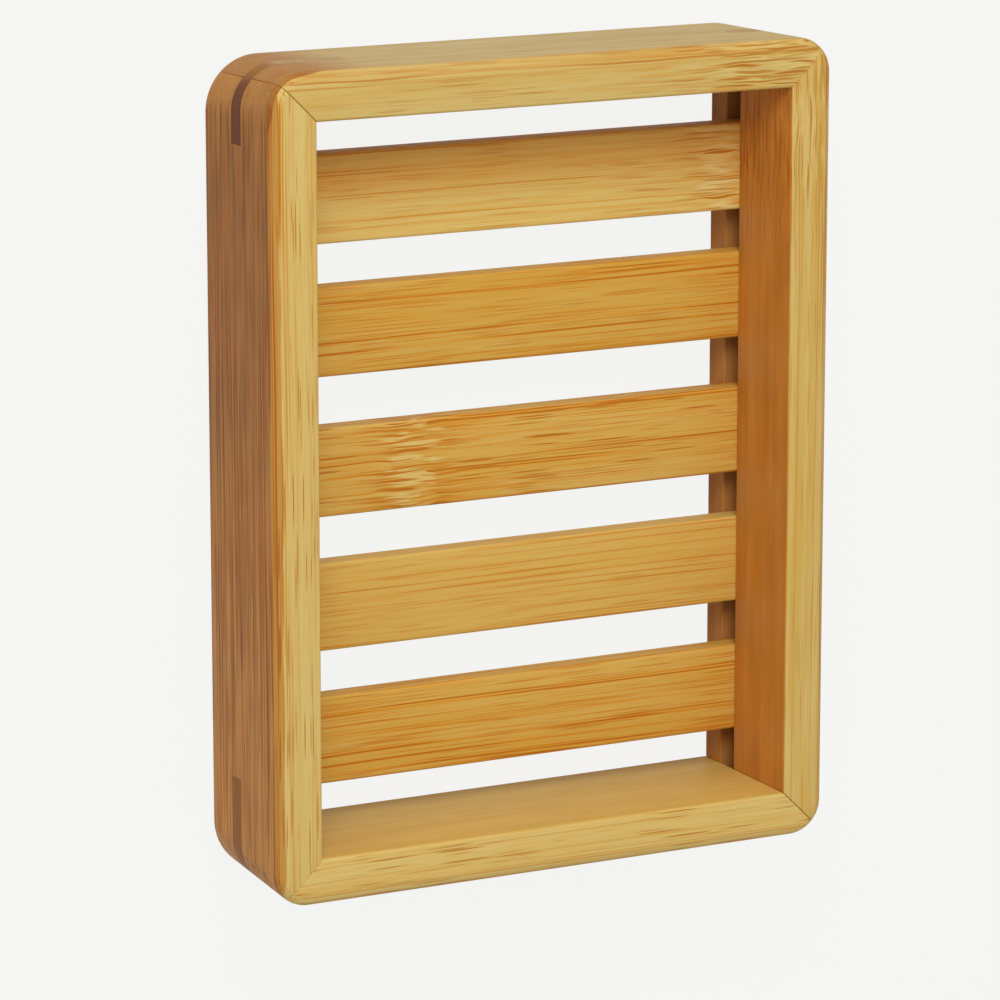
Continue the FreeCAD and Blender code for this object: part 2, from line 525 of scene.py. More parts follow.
# What each rail is like, in the order of RAILS: lengths in millimetres, colours of its faces
RAIL_LOOK = {
    "grain_shift": (310.0, 770.0, 1130.0, 1710.0),
    "tone": (1.01, 1.06, 0.98, 0.95),
    "honey": (0.35, 0.45, 1.0, 0.65),
    "line": (0.3, 0.35, 0.4, 0.3),
    "edge_line": (1.1, 0.5, 1.0, 0.9),
    "dash": (0.9, 1.0, 0.5, 0.6),
    "joint_place": (0.0, 0.0, 50.0, -36.5),
    "joint_reach": (9.0, 9.0, 10.0, 9.0),
    "joint": (0.0, 0.0, 0.75, 1.0),
    "strip_depth": (1.1, 0.5, 1.1, 1.5),
    "ply_strip": (0.75, 0.2, 0.3, 0.15),
    "ply_line": (1.0, 0.5, 0.8, 0.9),
    "skin_edge": (0.8, 0.2, 0.2, 0.1),
    "cloud": (0.1, 0.03, 0.08, 0.03),
    "skin_line": (1.6, 0.6, 1.2, 0.3),
    "skin_streak": (0.66, 0.88, 0.65, 0.9),
    # Brown at the front left corner: partly browner skin, partly painted shade
    "brown_shade_start": (1.0, 0.0, 0.0, 0.0),
    "brown_shade_end": (0.0, 0.0, 0.0, 1.0),
    "outside_start": ((0.315, 0.132, 0.033), (0.5, 0.34, 0.13), (0.46, 0.23, 0.08), (0.53, 0.41, 0.18)),
    "outside_end": ((0.5, 0.245, 0.072), (0.5, 0.34, 0.13), (0.46, 0.23, 0.08), (0.53, 0.41, 0.18)),
    "inside": ((0.575, 0.245, 0.045), (0.645, 0.445, 0.125), (0.575, 0.245, 0.045), (0.71, 0.46, 0.135)),
}

# How far in from a rail's outer face a look starts and where it is full, in millimetres
OUTER_FACE = (0.15, 0.05)
EDGE_LINES = (3.5, 1.0)
SKIN_EDGE_START = (0.01, 0.04)
SKIN_EDGE_STOP = (0.13, 0.08)
GROOVE_BACK = (3.5, 3.8)

# The same from the inner face, from a slat's top, from the strip's end and from a rail's end
INNER_FACE = (0.2, 0.05)
GROOVE_MOUTH = (0.05, 0.25)
GROOVE_TOP = (0.6, 0.5)
STRIP_END = (0.1, -0.1)
PLY_LINE_WIDTH = (0.2, 0.06)
BROWN_RIM = (9.0, 4.0)
BROWN_SKIN = (19.0, 6.0)

# Depth of the skin, how much deeper it goes on a brown corner, where the deeper brown is partly painted
# shade, and how softly it ends
SKIN_DEPTH = 0.1
BROWN_SHADE_DEPTH = 0.5
SKIN_SOFTNESS = 0.09

# The rails' uneven looks, in patches as in the grain
WOBBLE_CELL = (18.0, 3.0, 3.0)
WOBBLE_REACH = 0.8
SKIN_EDGE_PATCH = (0.35, 0.6)
PLY_PATCH = ((30.0, 2.0, 2.0), (0.38, 0.56))
CLOUD = ((14.0, 4.0, 4.0), (0.3, 0.7))
SKIN_STREAK = ((45.0, 0.6, 0.6), (0.5, 0.66))

# What is left of a rail's lines, dashes, joint and strip's line where these are weakest
CORNER_LINES = 0.3
INNER_LINES = 0.2
INNER_DASHES = 0.15
SKIN_JOINT = 0.2
LEAST_PLY_LINE = 0.2


def brown_shade_end(bench, along, half_run, look, start, full):
    """How brown a rail's sanded ends are, partly browner skin and partly painted shade, from where the brown
    starts to where it is full.
    """
    first = bench.fade(along, start - half_run, full - half_run, 0.0, look["brown_shade_start"])
    last = bench.fade(along, half_run - start, half_run - full, 0.0, look["brown_shade_end"])
    return bench.most(first, last)


def rail_bamboo(name, look):
    """Laminated rail: a pale core between a brown outer skin and a tawny inner one, with a sawn groove
    darkened inside as painted shade. The brown round the front left corner is partly browner skin and partly
    painted shade.
    """
    bamboo = bpy.context.scene.soap_dish.bamboo
    material, bench, shader = new_material(name.replace("_", " "))
    run = RAILS[name][0]
    half_run, reach = rail_reach(run)
    half_run = half_run / MILLIMETRE
    thick = RAIL_THICKNESS / MILLIMETRE
    place = bench.add("ShaderNodeTexCoord").outputs["Object"]
    shift = (look["grain_shift"] * MILLIMETRE, reach, 0.0)
    grain_place = bench.turned_place(place, -math.atan2(run.y, run.x), shift)
    along, inset, height = bench.parts(grain_place)
    along = bench.sum_up("SUBTRACT", along, look["grain_shift"])
    depth = bench.add("ShaderNodeAttribute", attribute_name=DEPTH_LAYER).outputs["Fac"]
    inner = bench.fade(depth, thick - INNER_FACE[0], thick - INNER_FACE[1])
    flat = bench.fade(depth, *OUTER_FACE)
    at_corner = brown_shade_end(bench, along, half_run, look, *BROWN_RIM)
    near_corner = brown_shade_end(bench, along, half_run, look, *BROWN_SKIN)

    # Long lines crowd toward the outer edge, dashes keep to the rest, and brown corners are smooth
    edge_lines = bench.fade(inset, *EDGE_LINES, look["line"], look["edge_line"])
    skin_lines = bench.between(at_corner, look["skin_line"], CORNER_LINES * look["skin_line"])
    edge_lines = bench.between(flat, edge_lines, skin_lines)
    colours = []
    for colour in (bamboo.straw, bamboo.honey, bamboo.amber, bamboo.line, bamboo.pith):
        colours.append([look["tone"] * channel for channel in colour])
    pale, fibre_height = feed_grain(bench, grain_place, colours, {
        "Honey Share": look["honey"],
        "Line Share": bench.between(inner, edge_lines, INNER_LINES * look["line"]),
        "Dash Share": bench.between(inner, look["dash"], INNER_DASHES * look["dash"]),
        "Joint Place": look["joint_place"] + look["grain_shift"],
        "Joint Reach": look["joint_reach"],
        "Joint Share": bench.between(flat, look["joint"], SKIN_JOINT * look["joint"])})

    # Under the skin: a tan strip that ends in a warm line
    wobble = bench.noise(grain_place, WOBBLE_CELL)
    strip_depth = bench.sum_up("MULTIPLY_ADD", wobble, WOBBLE_REACH, look["strip_depth"] - WOBBLE_REACH / 2)
    from_line = bench.sum_up("SUBTRACT", inset, strip_depth)
    strip = bench.times(bench.fade(from_line, *STRIP_END), look["ply_strip"])
    colour = bench.mix(strip, pale, bench.tinted(pale, ratio(bamboo.ply_strip, bamboo.straw)))
    ply_line = bench.fade(bench.size_of(from_line), *PLY_LINE_WIDTH)
    patch = bench.patches(grain_place, *PLY_PATCH, LEAST_PLY_LINE, look["ply_line"])
    colour = bench.mix(bench.times(ply_line, patch), colour, bamboo.ply_line)

    # The skin covers the flat outer face, and on a brown corner its rim as well, partly as painted shade
    skin_depth = bench.sum_up("MULTIPLY_ADD", at_corner, BROWN_SHADE_DEPTH, SKIN_DEPTH)
    skin = bench.fade(depth, skin_depth, bench.sum_up("SUBTRACT", skin_depth, SKIN_SOFTNESS))
    start_tint = ratio(look["outside_start"], bamboo.straw)
    end_tint = ratio(look["outside_end"], bamboo.straw)
    tint = bench.mix(bench.fade(along, -half_run, half_run), start_tint, end_tint)
    tint = bench.mix(near_corner, tint, ratio(bamboo.corner, bamboo.straw))
    cloud = bench.patches(grain_place, *CLOUD, 1 - look["cloud"], 1 + look["cloud"], FINE_DETAIL)
    streak = bench.between(at_corner, bench.patches(grain_place, *SKIN_STREAK), 0.0)
    skin_tone = bench.between(streak, cloud, bench.times(cloud, look["skin_streak"]))
    tint = bench.tinted(tint, bench.evenly(skin_tone))
    colour = bench.mix(skin, colour, bench.tinted(pale, tint))
    edge = bench.times(bench.fade(depth, *SKIN_EDGE_START), bench.fade(depth, *SKIN_EDGE_STOP))
    edge = bench.times(edge, bench.fade(wobble, *SKIN_EDGE_PATCH, 0.0, look["skin_edge"]))
    colour = bench.mix(edge, colour, bamboo.skin_edge)

    # The inner face, and the groove, whose inside is the tawny inner bamboo darkened further as painted shade
    inside = bench.tinted(ratio(look["inside"], bamboo.straw), bench.evenly(cloud))
    colour = bench.mix(inner, colour, bench.tinted(pale, inside))
    if name in GROOVED_RAILS:
        slat_top = SLAT_HIGH.z / MILLIMETRE
        past_mouth = bench.fade(depth, thick - GROOVE_MOUTH[0], thick - GROOVE_MOUTH[1])
        under_top = bench.fade(height, slat_top + GROOVE_TOP[0], slat_top + GROOVE_TOP[1])
        shaded_groove = bench.times(past_mouth, bench.fade(depth, *GROOVE_BACK), under_top)
        colour = bench.mix(shaded_groove, colour, bamboo.sawn)
    oiled_finish(bench, shader, colour, fibre_height)
    return material


# What each slat's grain is like; lengths in millimetres. The first slat's tone of 1.1 is painted light that
# brightens it where the left end rail's shadow falls, and its blush is partly painted shade of that rail and
# partly warmer grain
SLAT_LOOK = {
    "grain_shift": (0.0, 310.0, 700.0, 1130.0, 1570.0),
    "tone": (1.1, 0.99, 1.0, 1.01, 1.0),
    "blush": (1.0, 0.0, 0.0, 0.0, 0.0),
    "honey_base": (0.0, 0.4, 0.0, 0.0, 0.3),
    "honey_share": (0.1, 0.45, 0.5, 0.2, 0.4),
    "line_share": (0.6, 1.6, 1.4, 0.6, 1.6),
    "dash_share": (0.5, 0.5, 1.1, 0.4, 0.6),
    "joint_place": (34.5, 0.0, -16.0, 0.0, 0.0),
    "joint_share": (0.9, 0.0, 1.0, 0.0, 0.0),
}
SLAT_JOINT_REACH = 4.0

# Where a slat's warmer half starts and where it is warmest, in millimetres from its middle; this half lies
# toward the left end rail and is partly painted shade of that rail
SHADED_BLUSH_RANGE = (-2.5, 3.0)

# How far a face turns along the dish to start to take a slat side's painted light, and to take it in full
LIT_SIDE_FACING = (0.4, 0.9)


def slat_bamboo():
    """Slat bamboo whose sides are coloured paler than its top as painted light, and whose first slat is
    warmer on one half, partly as painted shade. Each slat's own grain is stored on its mesh.
    """
    bamboo = bpy.context.scene.soap_dish.bamboo
    material, bench, shader = new_material("slat bamboo")
    place = bench.add("ShaderNodeTexCoord").outputs
    turned = bench.turned_place(place["Object"], -math.pi / 2)
    looks = {}
    for label in (*SLAT_LOOK, "middle"):
        looks[label] = bench.add("ShaderNodeAttribute", attribute_name=label).outputs["Fac"]
    grain_place = bench.vector_sum("ADD", turned, bench.whole(looks["grain_shift"], 0.0, 0.0))
    colours = (bamboo.slat_straw, bamboo.slat_honey, bamboo.slat_amber, bamboo.slat_line, bamboo.pith)
    colour, fibre_height = feed_grain(bench, grain_place, colours, {
        "Honey Base": looks["honey_base"], "Honey Share": looks["honey_share"],
        "Line Share": looks["line_share"], "Dash Share": looks["dash_share"],
        "Joint Place": bench.sum_up("ADD", looks["joint_place"], looks["grain_shift"]),
        "Joint Reach": SLAT_JOINT_REACH, "Joint Share": looks["joint_share"]})
    # The first slat's half toward the left end rail is warmer, partly as painted shade of that rail, and its
    # other half paler; its tone lifts it as painted light
    from_middle = bench.sum_up("ADD", bench.parts(turned)[1], looks["middle"])
    pale_tint = ratio(bamboo.slat_pale, bamboo.slat_straw)
    shaded_blush_tint = ratio(bamboo.slat_shaded_blush, bamboo.slat_straw)
    lit_and_shaded_halves = bench.mix(bench.fade(from_middle, *SHADED_BLUSH_RANGE), pale_tint, shaded_blush_tint)
    colour = bench.mix(looks["blush"], colour, bench.tinted(colour, lit_and_shaded_halves))
    colour = bench.tinted(colour, bench.evenly(looks["tone"]))
    # Painted light: faces turned along the dish, the slats' sides, take a paler colour than the top
    facing = bench.size_of(bench.parts(place["Normal"])[0])
    side = bench.tinted(colour, ratio(bamboo.slat_lit_side, bamboo.slat_straw))
    colour = bench.mix(bench.fade(facing, *LIT_SIDE_FACING), colour, side)
    oiled_finish(bench, shader, colour, fibre_height)
    return material


# The keys' grain as tints and its shares, and how far a face turns to a long side to be slanted or end grain
KEY_TINTS = ((1.0, 1.0, 1.0), (0.85, 0.8, 0.75), (0.85, 0.75, 0.65), (0.6, 0.55, 0.5))
KEY_SHARES = {
    "Honey Share": 0.8, "Line Share": 0.6, "Dash Share": 0.5, "Joint Reach": 1.0, "Joint Share": 0.0}
KEY_SLANT_FACING = (0.0, 0.35)
KEY_END_FACING = (0.55, 0.9)


def key_bamboo():
    """Dark bamboo of the keys: darkest on the dish's long sides, and paler on its short ends, where the paler
    colour is a painted sheen.
    """
    bamboo = bpy.context.scene.soap_dish.bamboo
    material, bench, shader = new_material("key bamboo")
    place = bench.add("ShaderNodeTexCoord").outputs
    grain_place = bench.turned_place(place["Object"])
    grain, fibre_height = feed_grain(bench, grain_place, KEY_TINTS, KEY_SHARES)
    half_length = HALF_LENGTH / MILLIMETRE
    rightward = bench.fade(bench.parts(grain_place)[0], -half_length, half_length)
    end_grain = bench.mix(rightward, bamboo.key_brown, bamboo.key_tan)
    facing = bench.size_of(bench.parts(place["Normal"])[1])
    slanted = bench.fade(facing, *KEY_SLANT_FACING)
    # Faces toward the dish's ends take the key side colour, a painted sheen
    brown = bench.mix(slanted, bamboo.key_sheen, bamboo.key_slant)
    brown = bench.mix(bench.fade(facing, *KEY_END_FACING), brown, end_grain)
    oiled_finish(bench, shader, bench.tinted(brown, grain), fibre_height)
    return material


def finished_piece(name, mesh, material, nodes):
    """Puts a finished mesh in the scene in place of the solids that it stands for."""
    piece = bpy.data.objects.new(name, mesh)
    bpy.context.scene.collection.objects.link(piece)
    mesh.materials.clear()
    mesh.materials.append(material)
    for polygon in mesh.polygons:
        polygon.use_smooth = True
        polygon.material_index = 0
    mesh.set_sharp_from_angle(angle=SMOOTH_ANGLE)
    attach(piece, BODY)
    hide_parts(*nodes)


def corner_radius(settings, height):
    """How far an upright corner is rounded at a height."""
    share = height / RAIL_HEIGHT
    return settings.lower_radius * (1 - share) + settings.upper_radius * share


def key_size(corner):
    """The underside and top of a corner's key, and its legs along the dish and across it."""
    low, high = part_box(corner + "_corner_key")
    return low.z, high.z, high.x - low.x, high.y - low.y


def rail_reach(run):
    """Half a rail's length, and how far its outer face lies from the dish's middle."""
    return (HALF_LENGTH, HALF_WIDTH) if run.x else (HALF_WIDTH, HALF_LENGTH)


def rail_section(settings, levels, grooved):
    """The rail's outline, from the outer face up and round: inset from that face, height, corner bend."""
    thick = RAIL_THICKNESS
    edge = settings.edge_round
    ease = settings.inner_ease
    outline = [(0.0, height) for height in (edge, *levels, RAIL_HEIGHT - edge)]
    for step in range(1, ROUND_STEPS + 1):
        angle = math.pi / 2 * step / ROUND_STEPS
        outline.append((edge * (1 - math.cos(angle)), RAIL_HEIGHT - edge + edge * math.sin(angle)))
    for step in range(EASE_STEPS + 1):
        angle = math.pi / 2 * (1 - step / EASE_STEPS)
        outline.append((thick - ease + ease * math.cos(angle), RAIL_HEIGHT - ease + ease * math.sin(angle)))
    lower = [(inset, RAIL_HEIGHT - height) for inset, height in reversed(outline[len(levels) + 2:])]
    section = []
    for inset, height in outline + lower:
        radius = corner_radius(settings, height)
        if inset <= edge:
            section.append((inset, height, radius - inset))
        else:
            section.append((inset, height, (radius - edge) * (thick - inset) / (thick - edge)))
    if grooved:
        floor = SLAT_LOW.z
        top = SLAT_HIGH.z + settings.groove_top_gap
        depth = SLAT_SIZE.y / 2 + settings.groove_end_gap - (HALF_WIDTH - thick)
        back = thick - depth
        groove = [(thick, top, 0.0), (back, top, 0.0), (back, floor, 0.0), (thick, floor, 0.0)]
        section[len(outline):len(outline)] = groove
    return section


def toward_mitre(point, half_run, back):
    """Where a section point lies when its path is followed back from the mitre: run, inset and height."""
    inset, height, bend = point
    arc = bend * math.pi / 4
    if back < arc:
        angle = math.pi / 4 - back / bend
        run = half_run - inset - bend + bend * math.sin(angle)
        return run, inset + bend * (1 - math.cos(angle)), height
    return half_run - inset - bend - (back - arc), inset, height


def sunk_at_mitre(point, half_run, depth):
    """Where a section point meets the mitre, drawn in toward the rail's middle so that the seam shows."""
    _, inset, height = toward_mitre(point, half_run, 0.0)
    inward = Vector((RAIL_THICKNESS / 2 - inset, RAIL_HEIGHT / 2 - height)).normalized()
    sunk_inset = inset + depth * inward.x
    return half_run - sunk_inset, sunk_inset, height + depth * inward.y


def rail_stations(section, half_run, leg, seam):
    """Section outlines along half a rail, from where the key starts to the mitre."""
    stations = [[(half_run - leg, inset, height) for inset, height, _ in section]]
    for step in range(CORNER_STEPS):
        left = 1 - step / CORNER_STEPS
        row = []
        for point in section:
            path = CORNER_PAD + point[2] * math.pi / 4
            row.append(toward_mitre(point, half_run, path * left))
        stations.append(row)
    stations.append([toward_mitre(point, half_run, seam) for point in section])
    stations.append([sunk_at_mitre(point, half_run, 2 * seam) for point in section])
    return stations


def build_rail(name, settings):
    """One mitred rail with its key slots, as a closed mesh."""
    run, start, end = RAILS[name]
    out = run.cross(UP)
    half_run, reach = rail_reach(run)
    levels = {*key_size(start)[:2], *key_size(end)[:2]}
    section = rail_section(settings, sorted(levels), name in GROOVED_RAILS)
    outer_count = len(levels) + 2
    model = bmesh.new()
    depth_layer = model.verts.layers.float.new(DEPTH_LAYER)

    def spot(along, inset, height, depth):
        """A new point of the rail, which knows its depth in the wood."""
        vert = model.verts.new(run * along + out * (reach - inset) + UP * height)
        vert[depth_layer] = depth / MILLIMETRE
        return vert

    middle = [spot(0.0, inset, height, inset) for inset, height, _ in section]
    for corner, way in ((start, -1), (end, 1)):
        low, high, leg_x, leg_y = key_size(corner)
        leg = leg_x if run.x else leg_y
        seam = settings.open_seam if corner in OPEN_CORNERS else settings.tight_seam
        lines = [middle]
        for row in rail_stations(section, half_run, leg, seam):
            line = []
            for (along, inset, height), point in zip(row, section):
                line.append(spot(way * along, inset, height, point[0]))
            lines.append(line)
        in_key = []
        for index, point in enumerate(section[:outer_count]):
            if low - LEVEL_TOLERANCE <= point[1] <= high + LEVEL_TOLERANCE:
                in_key.append(index)
        add_sides(model, lines, in_key, way)
        key_inset = leg_x * leg_y / (leg_x + leg_y)
        inner = {}
        for index in (in_key[0], in_key[-1]):
            inner[index] = spot(way * (half_run - key_inset), key_inset, section[index][1], key_inset)
        close_key_slot(model, lines, in_key, inner)
    unused = [vert for vert in model.verts if not vert.link_faces]
    bmesh.ops.delete(model, geom=unused, context="VERTS")
    bmesh.ops.recalc_face_normals(model, faces=model.faces[:])
    mesh = bpy.data.meshes.new(name + "_dressed")
    model.to_mesh(mesh)
    model.free()
    return mesh


def add_sides(model, lines, in_key, way):
    """Adds the faces from line to line along half a rail, except across the mouth of its key slot."""
    count = len(lines[0])
    for station, (line, next_line) in enumerate(zip(lines, lines[1:])):
        for index in range(count):
            after = (index + 1) % count
            if station >= 1 and index in in_key and after in in_key:
                continue
            corners = [line[index], next_line[index], next_line[after], line[after]]
            model.faces.new(corners if way > 0 else corners[::-1])


def close_key_slot(model, lines, in_key, inner):
    """Adds the slot's floor, roof and back, and the mitre face with the slot's notch in it."""
    first, last = in_key[0], in_key[-1]
    for index in (first, last):
        edge = [line[index] for line in lines[1:]]
        model.faces.new(edge + [inner[index]])
    back = [lines[1][index] for index in in_key]
    model.faces.new(back + [inner[last], inner[first]])
    rim = lines[-1]
    model.faces.new(rim[:first + 1] + [inner[first], inner[last]] + rim[last:])


class SOAPDISH_OT_rails(bpy.types.Operator):
    """Build the four mitred rails"""

    bl_idname = "soap_dish.add_rails"
    bl_label = "Add rails"

    def execute(self, context):
        settings = context.scene.soap_dish.rails
        for index, name in enumerate(RAILS):
            look = {label: values[index] for label, values in RAIL_LOOK.items()}
            material = rail_bamboo(name, look)
            finished_piece(name + "_dressed", build_rail(name, settings), material, [name])
        return {"FINISHED"}


def new_geometry_tree(name, lengths):
    """An empty geometry tree that takes seed points, lengths by label and a material."""
    inputs = {"Geometry": "Geometry", **dict.fromkeys(lengths, "Float"), "Material": "Material"}
    return new_tree("GeometryNodeTree", name, inputs, {"Geometry": "Geometry"})


def end_tree(bench, instances, material):
    """Makes instances real, gives them their material and hands them on."""
    real = bench.made("GeometryNodeRealizeInstances", {"Geometry": instances})
    painted = bench.made("GeometryNodeSetMaterial", {"Geometry": real, "Material": material})
    bench.add("NodeGroupOutput", {"Geometry": painted})


def grown_mesh(name, seeds, tree, values):
    """Runs a geometry tree on seed points and gives the plain mesh that it makes."""
    maker = bpy.data.objects.new(name + "_maker", seeds)
    bpy.context.scene.collection.objects.link(maker)
    modifier = maker.modifiers.new(tree.name, "NODES")
    modifier.node_group = tree
    for item in tree.interface.items_tree:
        if item.in_out == "INPUT" and item.name in values:
            modifier[item.identifier] = values[item.name]
    depsgraph = bpy.context.evaluated_depsgraph_get()
    mesh = bpy.data.meshes.new_from_object(maker.evaluated_get(depsgraph))
    mesh.name = name
    bpy.data.objects.remove(maker)
    return mesh


def slat_tree():
    """A bar with eased edges, set on every seed point."""
    tree, bench, given = new_geometry_tree("housed slats", ("Width", "Thickness", "Length", "Edge Ease"))
    half = bench.times(given["Length"], 0.5)
    line = bench.made("GeometryNodeCurvePrimitiveLine", {
        "Start": bench.whole(0.0, bench.times(half, -1.0), 0.0), "End": bench.whole(0.0, half, 0.0)})
    outline = bench.made("GeometryNodeCurvePrimitiveQuadrilateral", {
        "Width": given["Width"], "Height": given["Thickness"]})
    eased = bench.made("GeometryNodeFilletCurve", {
        "Curve": outline, "Count": EASE_STEPS, "Radius": given["Edge Ease"]}, mode="POLY")
    bar = bench.made("GeometryNodeCurveToMesh", {"Curve": line, "Profile Curve": eased, "Fill Caps": True})
    placed = bench.made("GeometryNodeInstanceOnPoints", {"Points": given["Geometry"], "Instance": bar})
    end_tree(bench, placed, given["Material"])
    return tree


class SOAPDISH_OT_slats(bpy.types.Operator):
    """Build the slats that cross the well"""

    bl_idname = "soap_dish.add_slats"
    bl_label = "Add slats"

    def execute(self, context):
        middles = []
        for name in SLATS:
            low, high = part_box(name)
            middles.append((low + high) / 2)
        seeds = bpy.data.meshes.new("slat_seeds")
        seeds.from_pydata(middles, [], [])
        looks = {**SLAT_LOOK, "middle": [middle.x / MILLIMETRE for middle in middles]}
        for label, values in looks.items():
            seeds.attributes.new(label, "FLOAT", "POINT").data.foreach_set("value", values)
        material = slat_bamboo()
        mesh = grown_mesh("slats", seeds, slat_tree(), {
            "Width": SLAT_SIZE.x, "Thickness": SLAT_SIZE.z, "Length": SLAT_SIZE.y,
            "Edge Ease": context.scene.soap_dish.slats.edge_ease, "Material": material})
        finished_piece("slats", mesh, material, SLATS)
        return {"FINISHED"}


KEY_LENGTHS = (
    "First Leg", "Second Leg", "Thickness", "Corner Radius", "Upper Radius", "Lower Radius", "Height",
    "Half Length", "Half Width")


def key_tree():
    """A flat corner key with its point rounded to the frame's corner, set and turned on every seed point."""
    tree, bench, given = new_geometry_tree("corner keys", KEY_LENGTHS)
    first_back = bench.times(given["First Leg"], -1.0)
    second_back = bench.times(given["Second Leg"], -1.0)
    outline = bench.made("GeometryNodeCurvePrimitiveQuadrilateral", {
        "Point 1": bench.whole(0.0, 0.0, 0.0),
        "Point 2": bench.whole(first_back, 0.0, 0.0),
        "Point 3": bench.whole(bench.times(first_back, 0.5), bench.times(second_back, 0.5), 0.0),
        "Point 4": bench.whole(0.0, second_back, 0.0)}, mode="POINTS")
    at_point = bench.sum_up("LESS_THAN", bench.made("GeometryNodeInputIndex"), 1.0)
    rounded = bench.made("GeometryNodeFilletCurve", {
        "Curve": outline, "Count": 2 * CORNER_STEPS,
        "Radius": bench.times(at_point, given["Corner Radius"])}, mode="POLY")
    sheet = bench.made("GeometryNodeFillCurve", {"Curve": rounded}, mode="NGONS")
    plate = bench.made("GeometryNodeExtrudeMesh", {
        "Mesh": sheet, "Offset": bench.whole(*UP), "Offset Scale": given["Thickness"], "Individual": False})
    under = bench.made("GeometryNodeFlipFaces", {"Mesh": sheet})
    both = bench.add("GeometryNodeJoinGeometry", {"Geometry": under})
    bench.feed(both.inputs["Geometry"], plate)
    closed = bench.made("GeometryNodeMergeByDistance", {
        "Geometry": both.outputs["Geometry"], "Distance": MERGE_DISTANCE})
    turn = bench.made("GeometryNodeInputNamedAttribute", {"Name": "turn"}, data_type="FLOAT")
    placed = bench.made("GeometryNodeInstanceOnPoints", {
        "Points": given["Geometry"], "Instance": closed, "Rotation": bench.whole(0.0, 0.0, turn)})
    real = bench.made("GeometryNodeRealizeInstances", {"Geometry": placed})
    end_tree(bench, follow_taper(bench, real, given), given["Material"])
    return tree


def follow_taper(bench, keys, given):
    """Moves the keys' rounded points out or in, to lie flush with the corners at every height."""
    place = bench.made("GeometryNodeInputPosition")
    x, y, z = bench.parts(place)
    corner_x = bench.times(bench.sum_up("SIGN", x), given["Half Length"])
    corner_y = bench.times(bench.sum_up("SIGN", y), given["Half Width"])
    corner = bench.whole(corner_x, corner_y, z)
    from_corner = bench.vector_sum("SUBTRACT", place, corner)
    off_x, off_y, _ = bench.parts(from_corner)
    reach = bench.most(bench.size_of(off_x), bench.size_of(off_y))
    rounded = bench.sum_up("LESS_THAN", reach, bench.times(given["Corner Radius"], ROUNDED_MARGIN))
    share = bench.sum_up("DIVIDE", z, given["Height"])
    slope = bench.sum_up("SUBTRACT", given["Upper Radius"], given["Lower Radius"])
    radius = bench.sum_up("MULTIPLY_ADD", share, slope, given["Lower Radius"])
    growth = bench.sum_up("DIVIDE", radius, given["Corner Radius"])
    grown = bench.vector_sum("MULTIPLY", from_corner, bench.evenly(growth))
    return bench.made("GeometryNodeSetPosition", {
        "Geometry": keys, "Selection": rounded, "Position": bench.vector_sum("ADD", corner, grown)})


class SOAPDISH_OT_keys(bpy.types.Operator):
    """Build the keys that lock the mitred corners"""

    bl_idname = "soap_dish.add_keys"
    bl_label = "Add corner keys"

    def execute(self, context):
        places = []
        turns = []
        for corner, (sign_x, sign_y) in CORNERS.items():
            low, high, leg_x, leg_y = key_size(corner)
            places.append((sign_x * HALF_LENGTH, sign_y * HALF_WIDTH, low))
            turns.append(math.atan2(sign_y, sign_x) - math.pi / 4)
        seeds = bpy.data.meshes.new("key_seeds")
        seeds.from_pydata(places, [], [])
        seeds.attributes.new("turn", "FLOAT", "POINT").data.foreach_set("value", turns)
        material = key_bamboo()
        rails = context.scene.soap_dish.rails

        # All keys are cut alike, so the last one's sizes serve for every one
        mesh = grown_mesh("corner_keys", seeds, key_tree(), {
            "First Leg": min(leg_x, leg_y), "Second Leg": max(leg_x, leg_y), "Thickness": high - low,
            "Corner Radius": corner_radius(rails, RAIL_HEIGHT / 2), "Upper Radius": rails.upper_radius,
            "Lower Radius": rails.lower_radius, "Height": RAIL_HEIGHT, "Half Length": HALF_LENGTH,
            "Half Width": HALF_WIDTH, "Material": material})
        nodes = [corner + "_corner_key" for corner in CORNERS]
        finished_piece("corner_keys", mesh, material, nodes)
        return {"FINISHED"}


def seen_rays(bench):
    """One where a ray comes from the camera, or by way of gloss or glass."""
    rays = bench.add("ShaderNodeLightPath").outputs
    return bench.most(rays["Is Camera Ray"], rays["Is Glossy Ray"], rays["Is Transmission Ray"])


def stage_material(stage):
    """A floor that looks pale and even, keeps a light shadow and throws back only some light."""
    material = bpy.data.materials.new("floor")
    material.use_nodes = True
    material.node_tree.nodes.clear()
    bench = NodeBench(material.node_tree)
    pale = bench.made("ShaderNodeEmission", {"Color": stage.backdrop})
    shaded = bench.made("ShaderNodeBsdfDiffuse", {"Color": stage.backdrop})
    bounce = bench.made("ShaderNodeBsdfDiffuse", {"Color": [stage.floor_bounce] * 3})
    shown = bench.outcome(bench.add("ShaderNodeMixShader"), (stage.shadow_share, pale, shaded))
    both = bench.outcome(bench.add("ShaderNodeMixShader"), (seen_rays(bench), bounce, shown))
    bench.add("ShaderNodeOutputMaterial", {"Surface": both})
    return material


